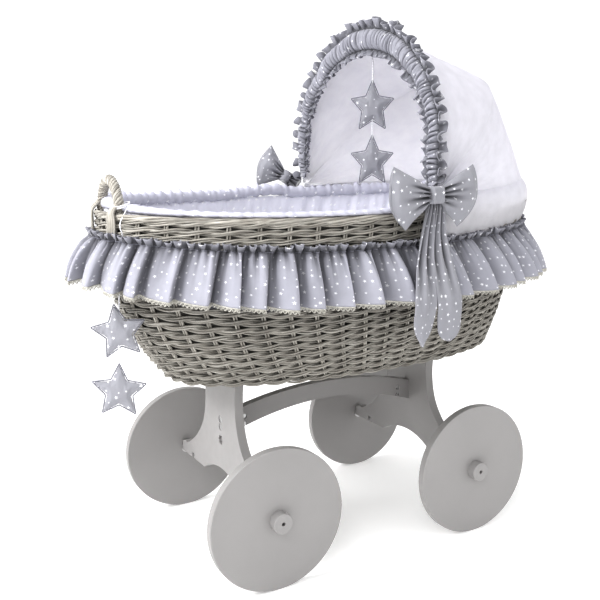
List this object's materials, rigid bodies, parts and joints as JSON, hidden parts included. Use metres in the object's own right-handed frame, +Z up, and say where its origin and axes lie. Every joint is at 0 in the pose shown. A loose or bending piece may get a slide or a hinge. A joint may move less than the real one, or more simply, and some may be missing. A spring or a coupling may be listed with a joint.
{
  "type": "bassinet on stand",
  "caption": "Wicker bassinet with a folding fabric hood, pleated skirt, bows and hanging stars, lifting off a wheeled wooden stand.",
  "frame": {"origin": "on the floor, under the middle of the overall length and width", "axes": "+X from the foot end to the hood end, +Y to the far side, +Z up"},
  "size_m": [1.062, 0.654, 1.0443],
  "materials": {
    "painted_wood": "satin grey-white paint",
    "bare_wood": "plain",
    "bush": "matte black",
    "bright_steel": "zinc plated",
    "dark_steel": "blackened",
    "willow": "washed grey willow",
    "pale_cloth": "plain cotton",
    "star_cloth": "grey cotton with small white stars",
    "lace": "cotton lace",
    "cord": "twisted cotton"
  },
  "bodies": {
    "stand": {"end_panel_foot": "painted_wood", "end_panel_head": "painted_wood", "arched_stretcher": "painted_wood", "stretcher_bolts": "bright_steel", "stretcher_barrel_nuts": "bright_steel", "locating_pegs": "bare_wood", "axle_rods": "dark_steel", "axle_clips": "bright_steel", "spacer_washers": "bright_steel", "axle_screws": "bright_steel"},
    "near_foot_wheel": {"wheel_near_foot": "painted_wood", "wheel_bush_near_foot": "bush", "hub_cap_near_foot": "painted_wood"},
    "near_head_wheel": {"wheel_near_head": "painted_wood", "wheel_bush_near_head": "bush", "hub_cap_near_head": "painted_wood"},
    "far_foot_wheel": {"wheel_far_foot": "painted_wood", "wheel_bush_far_foot": "bush", "hub_cap_far_foot": "painted_wood"},
    "far_head_wheel": {"wheel_far_head": "painted_wood", "wheel_bush_far_head": "bush", "hub_cap_far_head": "painted_wood"},
    "basket": {"basket_base": "willow", "lower_weave": "willow", "wall_stakes": "willow", "upper_weave": "willow", "rim_border": "willow", "handle_foot": "willow", "handle_head": "willow", "handle_wraps": "willow", "mattress": "pale_cloth", "lining": "pale_cloth", "lining_roll": "star_cloth", "skirt": "star_cloth", "skirt_lace": "lace", "hinge_brackets": "bright_steel", "bracket_screws": "bright_steel", "hinge_pins": "bright_steel", "hood_rear_hoop": "bright_steel", "canopy_drop": "pale_cloth", "bow_loops_near": "star_cloth", "bow_knot_near": "star_cloth", "bow_tails_near": "star_cloth", "bow_loops_far": "star_cloth", "bow_knot_far": "star_cloth", "bow_tails_far": "star_cloth", "garland_cord_upper": "cord"},
    "hood_middle": {"hood_middle_hoop": "bright_steel", "canopy_rear": "pale_cloth"},
    "hood_front": {"hood_front_hoop": "bright_steel", "hood_ruffle": "star_cloth", "canopy_front": "pale_cloth"},
    "mobile_top": {"mobile_knot": "cord"},
    "star_mobile": {"mobile_ribbon": "cord", "mobile_star_upper": "star_cloth", "mobile_star_lower": "star_cloth"},
    "garland": {"garland_cord_lower": "cord", "garland_star_upper": "star_cloth", "garland_star_lower": "star_cloth"}
  },
  "joints": [
    {"name": "near_foot_wheel_spin", "type": "hinge", "parent": "stand", "child": "near_foot_wheel", "pos_m": [-0.244, -0.2175, 0.135], "axis": [0, 1, 0], "continuous": true},
    {"name": "near_head_wheel_spin", "type": "hinge", "parent": "stand", "child": "near_head_wheel", "pos_m": [0.218, -0.2175, 0.135], "axis": [0, 1, 0], "continuous": true},
    {"name": "far_foot_wheel_spin", "type": "hinge", "parent": "stand", "child": "far_foot_wheel", "pos_m": [-0.244, 0.2175, 0.135], "axis": [0, 1, 0], "continuous": true},
    {"name": "far_head_wheel_spin", "type": "hinge", "parent": "stand", "child": "far_head_wheel", "pos_m": [0.218, 0.2175, 0.135], "axis": [0, 1, 0], "continuous": true},
    {"name": "basket_lift", "type": "slide", "parent": "stand", "child": "basket", "axis": [0, 0, 1], "range_m": [0, 0.3]},
    {"name": "hood_middle_fold", "type": "hinge", "parent": "basket", "child": "hood_middle", "pos_m": [0.0815, 0, 0.702], "axis": [0, 1, 0], "range_deg": [0, 25], "deforming": ["canopy_rear"]},
    {"name": "hood_front_fold", "type": "hinge", "parent": "hood_middle", "child": "hood_front", "pos_m": [0.0815, 0, 0.702], "axis": [0, 1, 0], "range_deg": [0, 9], "deforming": ["canopy_front"]},
    {"name": "mobile_level", "type": "hinge", "parent": "hood_front", "child": "mobile_top", "pos_m": [0.111, 0, 0.999], "axis": [0, 1, 0], "range_deg": [-34, 0]},
    {"name": "mobile_swing", "type": "hinge", "parent": "mobile_top", "child": "star_mobile", "pos_m": [0.111, 0, 0.999], "axis": [1, 0, 0], "range_deg": [-20, 20]},
    {"name": "garland_swing", "type": "hinge", "parent": "basket", "child": "garland", "pos_m": [-0.4665, -0.063, 0.552], "axis": [-0.881, -0.473, 0], "range_deg": [-12, 12]}
  ],
  "couplings": [
    {"joint": "hood_front_fold", "follows": "hood_middle_fold", "ratio": 0.36},
    {"joint": "mobile_level", "follows": "hood_middle_fold", "ratio": -1.36}
  ]
}
